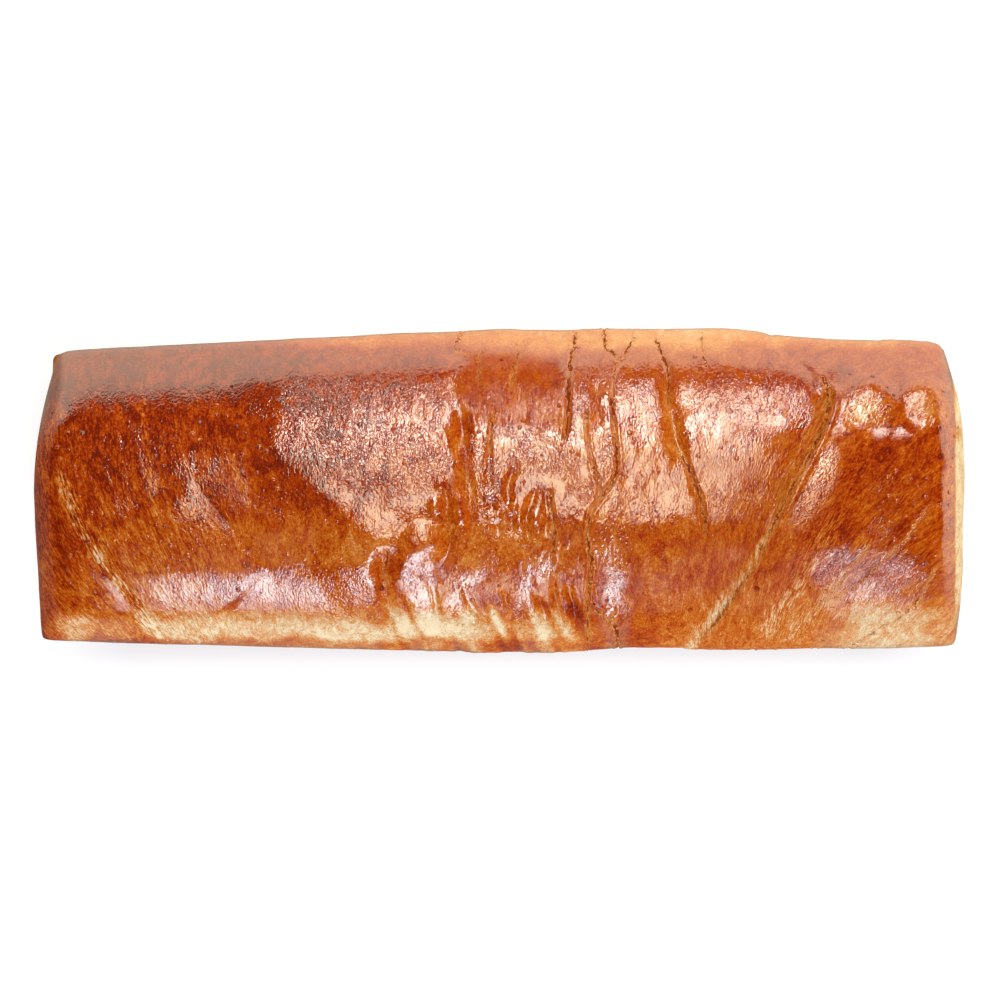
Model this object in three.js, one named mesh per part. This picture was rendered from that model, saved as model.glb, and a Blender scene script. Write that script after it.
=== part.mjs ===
// A long open-top tin loaf of glazed white bread, as one solid.
// The lower part filled a straight-sided tin and keeps its flat walls and sharp corners.
// The crown rose over the rim: it is domed from side to side, nearly level along its length,
// bulges out past the walls, and carries the folds, pleats, cracks and blisters of the rolled dough.
// Units are millimetres. +X runs along the loaf, +Y across it, +Z up; the origin is the middle of the base.
import * as THREE from "three";

const { clamp, lerp, smoothstep } = THREE.MathUtils;
const point = (x, y) => new THREE.Vector2(x, y);

// Driving sizes of the whole loaf; the relief of its crust stands a little proud of them.
const LENGTH = 328;
const WIDTH = 115;
const HEIGHT = 112;

// The tin part. Its rim is the highest line that the tin held, and its four corners there are
// not quite square, because the crust shrank from the tin a little more on one side.
const TIN_RIM = 0.63 * HEIGHT;
const TIN_HALF = point(0.4875 * LENGTH, 0.447 * WIDTH);
const TIN_CORNERS = {
  backLeft: point(-158, 48.3),
  backRight: point(157.9, 50.8),
  frontLeft: point(-162.3, -51.9),
  frontRight: point(160.6, -54.4),
};
const TIN_TAPER = 2.6;
const TIN_CORNER_RADIUS = { rim: 2.2, base: 4 };
const WALL_HOLLOW = 0.8;
const BASE_EDGE = 4.5;

// The crown above its widest line, the shoulder. The dough was a roll, so the ends are blunt.
const SHOULDER = TIN_RIM + 9;
const CROWN_RISE = HEIGHT - SHOULDER;
const END_DROP = 0.1;
const END_SQUARENESS = 40;
const SIDE_SQUARENESS = 2.15;
const CORNER_FULLNESS = { front: 0.992, back: 0.965 };

// How far the crown reaches out at the shoulder: [place along the side or end, reach from the middle].
const REACH = {
  back: [[-164, 49.6], [-77, 53.7], [-35, 55.8], [62, 57.2], [91, 56.4], [101, 54.2], [164, 52]],
  front: [[-164, 53], [-120, 54.3], [-70, 55.7], [-20, 57], [20, 57], [45, 55.6], [95, 56], [164, 55]],
  left: [[-53, 162.2], [-30, 163.2], [-8, 164.3], [14, 163.9], [35, 161], [50, 158]],
  right: [[-55, 161.8], [-38, 163.4], [-12, 164.2], [14, 164.4], [35, 162.6], [52, 158.6]],
};

// Mesh steps: along the crown, across it, under the shoulder, down the wall and round the base edge.
const STEPS_LONG = 100;
const STEPS_WIDE = 34;
const STEPS_UNDER = 3;
const STEPS_WALL = 2;
const STEPS_EDGE = 2;

// A fold is a lap of dough laid over its neighbour. Its path runs from back to front, and the lap
// lies on the right (+X) of it, or on the left where mirrored. rise, reach: height of the lap's lip,
// and how far it takes to fade into the lap. trench, width: depth and width of the dip beside it.
const FOLDS = [
  // The main lap, from the back edge down to the front edge right of the middle.
  { path: [point(119, 40), point(99, -16), point(67, -60)], rise: 3.4, reach: 24, trench: 1.8, width: 8 },
  // The seam over the back edge, where the main lap starts.
  { path: [point(97, 60), point(106, 54), point(118, 36)], rise: -0.6, reach: 12, trench: 1.2, width: 3 },
  // The second lap, low on the right.
  { path: [point(152, -4), point(122, -22), point(88, -60)], rise: 1.0, reach: 14, trench: 1.6, width: 4 },
  // The small flap at the front right corner.
  {
    path: [point(155, -26), point(142, -46), point(121, -58)],
    rise: -0.9, reach: 9, trench: 1.4, width: 3, mirrored: true,
  },
  // The stretch mark left of the middle.
  {
    path: [point(-110, 8), point(-94, -10), point(-82, -30)],
    rise: 1.1, reach: 12, trench: 0.8, width: 4, mirrored: true,
  },
  // The start of the roll near the left end.
  { path: [point(-156, 12), point(-142, -30), point(-118, -58)], rise: 0.8, reach: 12, trench: 0.8, width: 4 },
];

// Splits where the crust tore open over the stretched middle.
const CRACKS = [
  { path: [point(26.5, 60), point(25, 42), point(23.5, 14)], depth: 2.4, width: 1.8 },
  { path: [point(47, 60), point(46, 48), point(40, 40), point(41, 14), point(32, -8)], depth: 2.6, width: 2 },
  { path: [point(33, -4), point(31, -22), point(32, -38), point(31, -60)], depth: 1.8, width: 1.8 },
  { path: [point(43, 45), point(38.5, 49.5), point(37, 60)], depth: 1.6, width: 1.6 },
  { path: [point(55, 53), point(59, 40), point(60, 22), point(68.5, 7), point(71, -16)], depth: 2.2, width: 2.4 },
  { path: [point(38.5, -44), point(42, -52), point(42, -60)], depth: 2.2, width: 1.8 },
];

// Pleats where the roll was wound tightest. The dips between them run from back to front, high on
// the crown and again, leaning the other way, low on its front.
const PLEATS = [
  { at: [-15.6, -7.2, -0.7, 8.1], from: 44, to: -25, lean: -3, depth: 1.1, width: 2.6 },
  { at: [-41, -24, -14, -1, 8, 17, 25], from: -26, to: -58, lean: 6, depth: 1.1, width: 2.6 },
];
const DIPS = PLEATS.flatMap(({ at, from, to, lean, depth, width }) =>
  at.map((x) => ({ path: [point(x, from), point(x + lean, to)], depth, width })),
);

// Swellings and dips, each a round patch: gas blisters near the back right corner, a puckered flap
// left of the middle, and the slow unevenness of the whole crown.
const SWELLINGS = [
  { at: point(129.5, 32), radius: 9, height: 2.2 },
  { at: point(147.5, 32.5), radius: 8, height: 1.8 },
  { at: point(-27, -19), radius: 9, height: 1.6 },
  { at: point(-39.5, -25), radius: 7, height: -1.8 },
  { at: point(-40, 18), radius: 40, height: 1.8 },
  { at: point(-125, 0), radius: 40, height: -1 },
  { at: point(84, 16), radius: 24, height: 1.4 },
  { at: point(4, 12), radius: 26, height: -0.9 },
];

// Signed distance from p to a sampled path, over 0 on the right of a path that runs to the front,
// with the share of the path that is passed there.
function nearest(line, p) {
  let best = { distance: Infinity };
  for (let i = 1; i < line.length; i++) {
    const run = line[i].clone().sub(line[i - 1]);
    const to = p.clone().sub(line[i - 1]);
    const share = clamp(to.dot(run) / run.lengthSq(), 0, 1);
    const away = to.clone().addScaledVector(run, -share).length();
    if (away < Math.abs(best.distance))
      best = { distance: away * (run.cross(to) < 0 ? -1 : 1), along: (i - 1 + share) / (line.length - 1) };
  }
  return best;
}

const PATH_STEPS = 14;
const LIP_ROUNDING = 3;
for (const item of [...FOLDS, ...CRACKS, ...DIPS])
  item.line = new THREE.SplineCurve(item.path).getPoints(PATH_STEPS);

// A fold or crack fades in and out over this share of its length.
const FADE = 0.15;
const fade = (along) => smoothstep(along, 0, FADE) * smoothstep(1 - along, 0, FADE);
const bell = (distance, width) => Math.exp(-((distance / width) ** 2));

function foldRelief({ line, rise, reach, trench, width, mirrored }, p) {
  const { distance, along } = nearest(line, p);
  const onLap = mirrored ? -distance : distance;
  const lap = rise * Math.exp(-Math.max(onLap, 0) / reach);
  const dip = -trench * bell(Math.min(onLap, 0), width);
  return lerp(dip, lap, smoothstep(onLap, -LIP_ROUNDING, LIP_ROUNDING)) * fade(along);
}

function crackRelief({ line, depth, width }, p) {
  const { distance, along } = nearest(line, p);
  return -depth * bell(distance, width) * fade(along);
}

function swellingRelief({ at, radius, height }, p) {
  const inside = Math.max(0, 1 - p.distanceToSquared(at) / radius ** 2);
  return height * inside ** 1.5;
}

// How far the crust stands in front of the plain crown, at a place seen from above.
function relief(p) {
  const sum = (items, height) => items.reduce((total, item) => total + height(item, p), 0);
  return sum(FOLDS, foldRelief) + sum([...CRACKS, ...DIPS], crackRelief) + sum(SWELLINGS, swellingRelief);
}

// A reach is read between its points by a smooth curve.
const reachCurves = {};
for (const [side, points] of Object.entries(REACH)) {
  const [places, reaches] = [0, 1].map((k) => points.map((pair) => pair[k]));
  reachCurves[side] = new THREE.CubicInterpolant(places, reaches, 1);
}
const reachAt = (side, place) => reachCurves[side].evaluate(place)[0];

// In a crown of half sizes 1 by 1, a place (u, v) has one term that grows to 1 at the ends and one
// that grows to 1 at the sides. The fullness says how square the corners between them are.
const endTerm = (u) => Math.abs(u) ** END_SQUARENESS;
const sideTerm = (v) => Math.abs(v) ** SIDE_SQUARENESS;
const shoulderTerm = (term, fullness) => (1 - term) / (1 - fullness * term);

// The crown without its relief, over s and t from -1 to 1.
function plainCrown(s, t) {
  const fullness = lerp(CORNER_FULLNESS.front, CORNER_FULLNESS.back, smoothstep(t, -1, 1));
  const cornerTerm = (1 - Math.sqrt(1 - fullness)) / fullness;
  const u = s * shoulderTerm(cornerTerm * sideTerm(t), fullness) ** (1 / END_SQUARENESS);
  const v = t * shoulderTerm(cornerTerm * endTerm(s), fullness) ** (1 / SIDE_SQUARENESS);
  const [a, b] = [endTerm(u), sideTerm(v)];
  const level = Math.sqrt(Math.max(0, 1 - a - b + fullness * a * b));
  const x = (u * LENGTH) / 2;
  const y = (v * WIDTH) / 2;
  const reachX = reachAt(u < 0 ? "left" : "right", y);
  const reachY = reachAt(v < 0 ? "front" : "back", x);
  return new THREE.Vector3(u * reachX, v * reachY, SHOULDER + CROWN_RISE * level * (1 - END_DROP * u ** 2));
}

function crownNormal(s, t) {
  const step = 1e-3;
  const [s0, s1] = [Math.max(-1, s - step), Math.min(1, s + step)];
  const [t0, t1] = [Math.max(-1, t - step), Math.min(1, t + step)];
  const along = plainCrown(s1, t).sub(plainCrown(s0, t));
  const across = plainCrown(s, t1).sub(plainCrown(s, t0));
  return along.cross(across).normalize();
}

function crown(s, t) {
  const place = plainCrown(s, t);
  return place.addScaledVector(crownNormal(s, t), relief(point(place.x, place.y)));
}

// Values from -1 to 1 that cut a curve into steps of even length, finer where weight is over 1.
function evenSteps(count, curve, weight = () => 1) {
  const samples = 2000;
  const total = [0];
  let last = curve(-1);
  for (let i = 1; i <= samples; i++) {
    const next = curve(-1 + (2 * i) / samples);
    total.push(total[i - 1] + next.distanceTo(last) * weight(next));
    last = next;
  }
  const steps = [];
  for (let k = 0, i = 0; k <= count; k++) {
    const wanted = (total[samples] * k) / count;
    while (i < samples - 1 && total[i + 1] < wanted) i++;
    steps.push(clamp(-1 + (2 * (i + (wanted - total[i]) / (total[i + 1] - total[i]))) / samples, -1, 1));
  }
  return steps;
}

// The mesh is finest over the cracks and pleats of the middle, and finer over the folds on the right.
const FINER = { from: -40, to: 80, blend: 20, middle: 1.1, right: 0.7 };
function finer({ x }) {
  const { from, to, blend, middle, right } = FINER;
  const pastFrom = smoothstep(x, from - blend, from + blend);
  const pastTo = smoothstep(x, to - blend, to + blend);
  return 1 + pastFrom * (right + middle * (1 - pastTo));
}
const sSteps = evenSteps(STEPS_LONG, (s) => plainCrown(s, 0), finer);
const tSteps = evenSteps(STEPS_WIDE, (t) => plainCrown(0, t));

// The columns that go round the loaf, anticlockwise from the front left corner: each is a pair (s, t).
const columns = [
  ...sSteps.slice(0, -1).map((s) => [s, -1]),
  ...tSteps.slice(0, -1).map((t) => [1, t]),
  ...sSteps.slice(1).reverse().map((s) => [s, 1]),
  ...tSteps.slice(1).reverse().map((t) => [-1, t]),
];

// The wall's outline at a height: a rectangle with rounded corners that tapers to the base, is drawn
// in a little half way up, and turns under at the base edge. Its corners are moved to the tin's own.
function wallAt(s, t, z) {
  const share = z / TIN_RIM;
  const under = clamp((BASE_EDGE - z) / BASE_EDGE, 0, 1);
  const edge = BASE_EDGE * (1 - Math.sqrt(1 - under ** 2));
  const inset = TIN_TAPER * (1 - share) + WALL_HOLLOW * Math.sin(Math.PI * share) + edge;
  const half = TIN_HALF.clone().subScalar(inset);
  const radius = lerp(TIN_CORNER_RADIUS.base, TIN_CORNER_RADIUS.rim, share);
  const place = point(s, t).multiply(half);
  const straight = half.clone().subScalar(radius);
  const core = place.clone().clamp(straight.clone().negate(), straight);
  const round = core.clone().addScaledVector(place.sub(core).normalize(), radius).divide(TIN_HALF);
  const back = TIN_CORNERS.backLeft.clone().lerp(TIN_CORNERS.backRight, (1 + round.x) / 2);
  const front = TIN_CORNERS.frontLeft.clone().lerp(TIN_CORNERS.frontRight, (1 + round.x) / 2);
  return front.lerp(back, (1 + round.y) / 2);
}

// The rings of points under the shoulder, from the top one down to the base.
function ringBelow([s, t], row) {
  if (row <= STEPS_UNDER) {
    const angle = (Math.PI / 2) * (row / STEPS_UNDER);
    const shoulder = crown(s, t);
    const rim = wallAt(s, t, TIN_RIM);
    const out = Math.cos(angle);
    const z = lerp(shoulder.z, TIN_RIM, Math.sin(angle));
    return [lerp(rim.x, shoulder.x, out), lerp(rim.y, shoulder.y, out), z];
  }
  if (row <= STEPS_UNDER + STEPS_WALL) {
    const z = lerp(TIN_RIM, BASE_EDGE, (row - STEPS_UNDER) / STEPS_WALL);
    const wall = wallAt(s, t, z);
    return [wall.x, wall.y, z];
  }
  const angle = (Math.PI / 2) * ((row - STEPS_UNDER - STEPS_WALL) / STEPS_EDGE);
  const z = BASE_EDGE * (1 - Math.sin(angle));
  const wall = wallAt(s, t, z);
  return [wall.x, wall.y, z];
}

function loafGeometry() {
  const positions = [];
  const faces = [];
  const quad = (a, b, c, d) => faces.push(a, b, c, a, c, d);

  const width = tSteps.length;
  sSteps.forEach((s) => tSteps.forEach((t) => positions.push(...crown(s, t).toArray())));
  for (let i = 0; i < sSteps.length - 1; i++)
    for (let j = 0; j < width - 1; j++) {
      const a = i * width + j;
      quad(a, a + width, a + width + 1, a + 1);
    }

  // The top ring is the crown's own border.
  const indexOf = ([s, t]) => sSteps.indexOf(s) * width + tSteps.indexOf(t);
  let ring = columns.map(indexOf);
  for (let row = 1; row <= STEPS_UNDER + STEPS_WALL + STEPS_EDGE; row++) {
    const first = positions.length / 3;
    columns.forEach((column) => positions.push(...ringBelow(column, row)));
    const next = columns.map((_, k) => first + k);
    columns.forEach((_, k) => {
      const after = (k + 1) % columns.length;
      quad(ring[k], next[k], next[after], ring[after]);
    });
    ring = next;
  }

  // The base is flat, and its outline is filled with triangles.
  const outline = ring.map((k) => point(positions[3 * k], positions[3 * k + 1]));
  for (const [a, b, c] of THREE.ShapeUtils.triangulateShape(outline, []))
    faces.push(ring[a], ring[c], ring[b]);

  const geometry = new THREE.BufferGeometry();
  geometry.setAttribute("position", new THREE.Float32BufferAttribute(positions, 3));
  geometry.setIndex(faces);
  // The origin is the middle of the base, under the middle of the whole outline.
  geometry.computeBoundingBox();
  const middle = geometry.boundingBox.getCenter(new THREE.Vector3());
  geometry.translate(-middle.x, -middle.y, 0);
  geometry.computeVertexNormals();
  return geometry;
}

const crust = new THREE.MeshStandardMaterial({ color: 0xa84e14, roughness: 0.3, metalness: 0 });
const loaf = new THREE.Mesh(loafGeometry(), crust);
loaf.name = "loaf";

const group = new THREE.Group();
group.add(loaf);

export default group;
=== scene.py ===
import math

import bpy
import numpy as np
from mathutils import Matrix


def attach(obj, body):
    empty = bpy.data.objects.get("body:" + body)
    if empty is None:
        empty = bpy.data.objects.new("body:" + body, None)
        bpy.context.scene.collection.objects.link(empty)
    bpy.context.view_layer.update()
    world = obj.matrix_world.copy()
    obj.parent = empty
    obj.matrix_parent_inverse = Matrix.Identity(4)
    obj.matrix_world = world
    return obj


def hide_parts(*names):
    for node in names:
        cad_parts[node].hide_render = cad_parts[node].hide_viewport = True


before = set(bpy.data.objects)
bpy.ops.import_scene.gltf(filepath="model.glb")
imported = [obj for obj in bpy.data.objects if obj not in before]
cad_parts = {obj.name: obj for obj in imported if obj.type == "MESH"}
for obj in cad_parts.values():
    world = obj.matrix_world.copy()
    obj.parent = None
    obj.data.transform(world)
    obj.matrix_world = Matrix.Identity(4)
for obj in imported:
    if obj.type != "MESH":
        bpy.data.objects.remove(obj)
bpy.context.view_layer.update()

# ------------------------------------------------------------------------------------------------
# The set: a white table in a pale room with a dark ceiling, under softboxes whose reflections are
# the sheen on the glaze. The camera looks straight down from four metres through a long lens.
CAMERA_HEIGHT = 4.01
CAMERA_PLACE = (0.00009, -0.0028)
CAMERA_LENS = 400

scene = bpy.context.scene
scene.view_settings.view_transform = "Standard"


def add_object(name, data):
    thing = bpy.data.objects.new(name, data)
    scene.collection.objects.link(thing)
    return thing


def add_node(tree, kind, inputs=None, **settings):
    """A shader or geometry node with its settings, its inputs being values or other nodes' sockets."""
    node = tree.nodes.new(kind)
    for name, value in settings.items():
        setattr(node, name, value)
    for name, value in (inputs or {}).items():
        if isinstance(value, bpy.types.NodeSocket):
            tree.links.new(value, node.inputs[name])
        else:
            node.inputs[name].default_value = value
    return node


def maths(tree, operation, *values):
    return add_node(tree, "ShaderNodeMath", dict(enumerate(values)), operation=operation).outputs[0]


def map_range(tree, value, low, high, to_low, to_high, smooth=False):
    return add_node(tree, "ShaderNodeMapRange", {
        "Value": value, "From Min": low, "From Max": high, "To Min": to_low, "To Max": to_high},
        interpolation_type="SMOOTHSTEP" if smooth else "LINEAR").outputs["Result"]


lens = bpy.data.cameras.new("camera")
lens.lens = CAMERA_LENS
lens.sensor_width = 36
lens.clip_end = 20
camera = add_object("camera", lens)
camera.location = (*CAMERA_PLACE, CAMERA_HEIGHT)
scene.camera = camera


def add_softbox(name, width, depth, place, radiance, tint, aim=None, lights_sheen=True):
    """An area light of a given brightness that faces a point, or straight down. It lights either the
    glaze's sheen or the crust itself, so that each can be set alone, and the camera doesn't see it."""
    light = bpy.data.lights.new(name, "AREA")
    light.shape = "RECTANGLE"
    light.size = width
    light.size_y = depth
    light.energy = radiance * math.pi * width * depth
    light.color = tint
    softbox = add_object(name, light)
    softbox.location = place
    away = np.array(place) - np.array(aim or (*place[:2], 0))
    away /= np.linalg.norm(away)
    softbox.rotation_euler = (math.acos(away[2]), 0, math.atan2(away[0], -away[1]))
    softbox.visible_camera = False
    softbox.visible_diffuse = not lights_sheen
    softbox.visible_glossy = lights_sheen
    light.cycles.use_multiple_importance_sampling = lights_sheen


LOAF_TOP = (0, 0, 0.11)
WARM, CREAMY, HAZY = (1, 0.93, 0.76), (1, 0.98, 0.76), (1, 0.9, 0.6)
LAMPLIGHT, SOFT_WHITE = (1, 0.98, 0.93), (1, 0.98, 0.9)
DAYLIGHT, SKYLIGHT = (0.93, 0.97, 1.0), (0.76, 0.93, 1.0)
add_softbox("fill_overhead", 0.23, 1.3, (0.021, 0.6, 1.25), 7.5, WARM, lights_sheen=False)
add_softbox("fill_front", 0.355, 0.7, (0.02, -1.0, 1.0), 20, DAYLIGHT, LOAF_TOP, lights_sheen=False)
add_softbox("sheen_overhead", 0.275, 1.4, (-0.0025, 0.56, 1.25), 12, CREAMY)
add_softbox("sheen_lamp", 0.095, 0.6, (-0.0525, 0.66, 1.23), 36, LAMPLIGHT)
add_softbox("sheen_corner", 0.14, 0.8, (0.25, 1.05, 1.23), 26, SOFT_WHITE)
add_softbox("sheen_right", 0.17, 0.42, (0.3, -0.73, 1.2), 29, SKYLIGHT)
add_softbox("sheen_front", 0.32, 0.42, (-0.02, -1.02, 0.93), 12, SKYLIGHT, LOAF_TOP)
add_softbox("sheen_front_edge", 0.37, 0.78, (-0.03, -1.1, 0.89), 10, SKYLIGHT, LOAF_TOP)
add_softbox("sheen_haze", 0.26, 0.5, (-0.08, -0.62, 1.15), 0.9, HAZY, LOAF_TOP)

# The room: its walls are brightest behind the loaf and reach 24 degrees up there. The table is
# hidden from the glaze, which sees the room's lower half in its place: the table's own white, as
# bright as the walls far off and dimmer near the loaf.
WALL_TOP_BACK, WALL_TOP_FRONT = math.sin(math.radians(24)), math.sin(math.radians(6))
WALL_TURN, WALL_BLUR, HORIZON_BLUR = 0.5, 0.012, 0.01
ROOM_BACK, ROOM_FRONT, ROOM_DARK = 4.1, 1.8, 0.004
ROOM_COLOUR = (1, 1, 0.76, 1)
TABLE_NEAR = 0.12
world = bpy.data.worlds.new("pale_room")
scene.world = world
world.use_nodes = True
room = world.node_tree
room.nodes.clear()
direction = add_node(room, "ShaderNodeSeparateXYZ", {
    0: add_node(room, "ShaderNodeTexCoord").outputs["Generated"]}).outputs
towards_wall = maths(room, "MULTIPLY_ADD", direction["X"], WALL_TURN, direction["Y"])
backward = map_range(room, towards_wall, -0.1, 0.6, 0, 1, smooth=True)
wall_top = map_range(room, backward, 0, 1, WALL_TOP_FRONT, WALL_TOP_BACK, smooth=True)
above_wall = maths(room, "SUBTRACT", direction["Z"], wall_top)
wall_light = map_range(room, backward, 0, 1, ROOM_FRONT, ROOM_BACK, smooth=True)
under_top = map_range(room, above_wall, -WALL_BLUR, WALL_BLUR, 1, 0, smooth=True)
upper_light = maths(room, "MULTIPLY_ADD", under_top, wall_light, ROOM_DARK)
table_fade = map_range(room, direction["Z"], -1, 0, TABLE_NEAR, 1)
table_light = maths(room, "MULTIPLY", wall_light, table_fade)
below = map_range(room, direction["Z"], -HORIZON_BLUR, 0, 1, 0, smooth=True)
room_light = add_node(room, "ShaderNodeMix", {0: below, "A": upper_light, "B": table_light})
backdrop = add_node(room, "ShaderNodeBackground", {
    "Color": ROOM_COLOUR, "Strength": room_light.outputs[0]})
add_node(room, "ShaderNodeOutputWorld", {"Surface": backdrop.outputs["Background"]})

# The table glows evenly, but for a painted shade under the front of the loaf, a little dimmer.
TABLE_HALF, TABLE_GLOW, TABLE_SHADE = 3.0, 0.82, 0.2
SHADE_LINE, SHADE_FADE, SHADE_ENDS = -0.05, (0.006, 0.017), (0.13, 0.172)
table_mesh = bpy.data.meshes.new("table")
table_mesh.from_pydata(
    [(x * TABLE_HALF, y * TABLE_HALF, 0) for x, y in ((-1, -1), (1, -1), (1, 1), (-1, 1))],
    [], [(0, 1, 2, 3)])
table = add_object("table", table_mesh)
table.visible_glossy = False
white_table = bpy.data.materials.new("white_table")
white_table.use_nodes = True
table_tree = white_table.node_tree
paint = table_tree.nodes["Principled BSDF"].inputs
for name, value in (("Base Color", (0.3, 0.33, 0.4, 1)), ("Roughness", 0.9), ("Specular IOR Level", 0),
                    ("Emission Color", (1, 1, 1, 1))):
    paint[name].default_value = value
table_place = add_node(table_tree, "ShaderNodeSeparateXYZ", {
    0: add_node(table_tree, "ShaderNodeTexCoord").outputs["Object"]}).outputs
aside = maths(table_tree, "ABSOLUTE", table_place["X"])
off_line = maths(table_tree, "ABSOLUTE", maths(table_tree, "SUBTRACT", table_place["Y"], SHADE_LINE))
shade_depth = map_range(table_tree, aside, *SHADE_ENDS, TABLE_SHADE, 0, smooth=True)
shade_share = map_range(table_tree, off_line, *SHADE_FADE, 1, 0, smooth=True)
table_shade = maths(table_tree, "MULTIPLY", shade_depth, shade_share)
table_glow = maths(table_tree, "SUBTRACT", TABLE_GLOW, table_shade)
table_tree.links.new(table_glow, paint["Emission Strength"])
table_mesh.materials.append(white_table)

# ------------------------------------------------------------------------------------------------
# The crust: one closed skin round the whole loaf. The tin shaped its walls and base, and above the
# rim the rolled-up dough rose into a crown crossed by laps, pleats and splits, brushed with egg
# before it was baked. Sizes here are millimetres, from the middle of the tin.
LENGTH, WIDTH, HEIGHT = 328, 115, 112
OUTLINE_MIDDLE = (0.263, -0.555)
TIN_RIM = 0.63 * HEIGHT
TIN_HALF = np.array((0.4875 * LENGTH, 0.447 * WIDTH))
TIN_CORNERS = {"back": ((-158, 48.3), (157.9, 50.8)), "front": ((-162.3, -51.9), (160.6, -54.4))}
TIN_TAPER = 2.6
CORNER_RADIUS_RIM, CORNER_RADIUS_BASE = 2.2, 4
WALL_HOLLOW = 0.8
BASE_EDGE = 4.5
SHOULDER = TIN_RIM + 9
CROWN_RISE = HEIGHT - SHOULDER
END_DROP = 0.1
END_SQUARENESS = 40
SIDE_SQUARENESS = 2.15
FULLNESS_FRONT, FULLNESS_BACK = 0.992, 0.965
REACH = {
    "back": ((-164, 49.6), (-77, 53.7), (-35, 55.8), (62, 57.2), (91, 56.9), (102, 55.7), (124, 53.9),
             (164, 52.2)),
    "front": ((-164, 53), (-120, 54.3), (-70, 55.7), (-20, 57), (20, 57), (45, 55.6), (95, 56),
              (164, 55)),
    "left": ((-53, 162.2), (-30, 163.2), (-8, 164.3), (14, 163.9), (35, 161), (50, 158)),
    "right": ((-55, 161.8), (-38, 163.4), (-12, 164.2), (14, 164.4), (35, 162.6), (52, 158.6)),
}


def lerp(a, b, share):
    return a + (b - a) * share


def ramp(value, low, high):
    """0 below low, 1 above high, and a smooth rise between them."""
    share = np.clip((value - low) / (high - low), 0, 1)
    return share * share * (3 - 2 * share)


def bell(distance, width):
    return np.exp(-((distance / width) ** 2))


def read_reach(side, place):
    """The crown's reach at a place along a side or end, on a smooth curve through its points."""
    places, reaches = np.array(REACH[side], float).T
    slopes = np.gradient(reaches, places)
    i = np.clip(np.searchsorted(places, place) - 1, 0, len(places) - 2)
    gap = places[i + 1] - places[i]
    share = (place - places[i]) / gap
    turned = 1 - share
    return (reaches[i] * turned ** 2 * (1 + 2 * share) + slopes[i] * gap * share * turned ** 2
            + reaches[i + 1] * share ** 2 * (1 + 2 * turned)
            - slopes[i + 1] * gap * turned * share ** 2)


def plain_crown(s, t):
    """The crown without its relief, for s along it and t across it, both from -1 to 1."""
    fullness = lerp(FULLNESS_FRONT, FULLNESS_BACK, ramp(t, -1, 1))
    corner = (1 - np.sqrt(1 - fullness)) / fullness
    side, end = corner * np.abs(t) ** SIDE_SQUARENESS, corner * np.abs(s) ** END_SQUARENESS
    u = s * ((1 - side) / (1 - fullness * side)) ** (1 / END_SQUARENESS)
    v = t * ((1 - end) / (1 - fullness * end)) ** (1 / SIDE_SQUARENESS)
    a, b = np.abs(u) ** END_SQUARENESS, np.abs(v) ** SIDE_SQUARENESS
    level = np.sqrt(np.maximum(0, 1 - a - b + fullness * a * b))
    x, y = u * LENGTH / 2, v * WIDTH / 2
    reach_x = np.where(u < 0, read_reach("left", y), read_reach("right", y))
    reach_y = np.where(v < 0, read_reach("front", x), read_reach("back", x))
    z = SHOULDER + CROWN_RISE * level * (1 - END_DROP * u ** 2)
    return np.stack([u * reach_x, v * reach_y, z], -1)


def crown_normal(s, t):
    step = 1e-3
    along = plain_crown(np.minimum(1, s + step), t) - plain_crown(np.maximum(-1, s - step), t)
    across = plain_crown(s, np.minimum(1, t + step)) - plain_crown(s, np.maximum(-1, t - step))
    normal = np.cross(along, across)
    return normal / np.linalg.norm(normal, axis=-1, keepdims=True)


def lumps(x, y, seed, octaves=3):
    """Smooth random height from -1 to 1 over a plane, on a grid of one unit. Each octave is twice as
    fine as the last, half as high, and shifted so that their grids don't line up."""
    cells, shift_x, shift_y = 256, 37.3, 17.9
    lattice = np.random.default_rng(seed).uniform(-1, 1, (cells, cells))
    total, reach, height = 0, 0, 1
    for octave in range(octaves):
        px, py = x * 2 ** octave + shift_x * octave, y * 2 ** octave + shift_y * octave
        ix, iy = np.floor(px).astype(int), np.floor(py).astype(int)
        sx, sy = px - ix, py - iy
        sx, sy = sx * sx * (3 - 2 * sx), sy * sy * (3 - 2 * sy)
        corner = [[lattice[(ix + i) % cells, (iy + j) % cells] for j in (0, 1)] for i in (0, 1)]
        total = total + height * lerp(lerp(corner[0][0], corner[1][0], sx),
                                      lerp(corner[0][1], corner[1][1], sx), sy)
        reach, height = reach + height, height / 2
    return total / reach


def smooth_path(points, steps=10):
    """A smooth line through the points, with some steps between each two of them."""
    points = np.array(points, float)
    ends = np.vstack([points[:1], points, points[-1:]])
    line = []
    for before, a, b, after in zip(ends, ends[1:], ends[2:], ends[3:]):
        leave, arrive = (b - before) / 2, (after - a) / 2
        for share in np.arange(steps) / steps:
            line.append(a + leave * share + (3 * (b - a) - 2 * leave - arrive) * share ** 2
                        + (2 * (a - b) + leave + arrive) * share ** 3)
    line.append(points[-1])
    return np.array(line)


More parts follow.
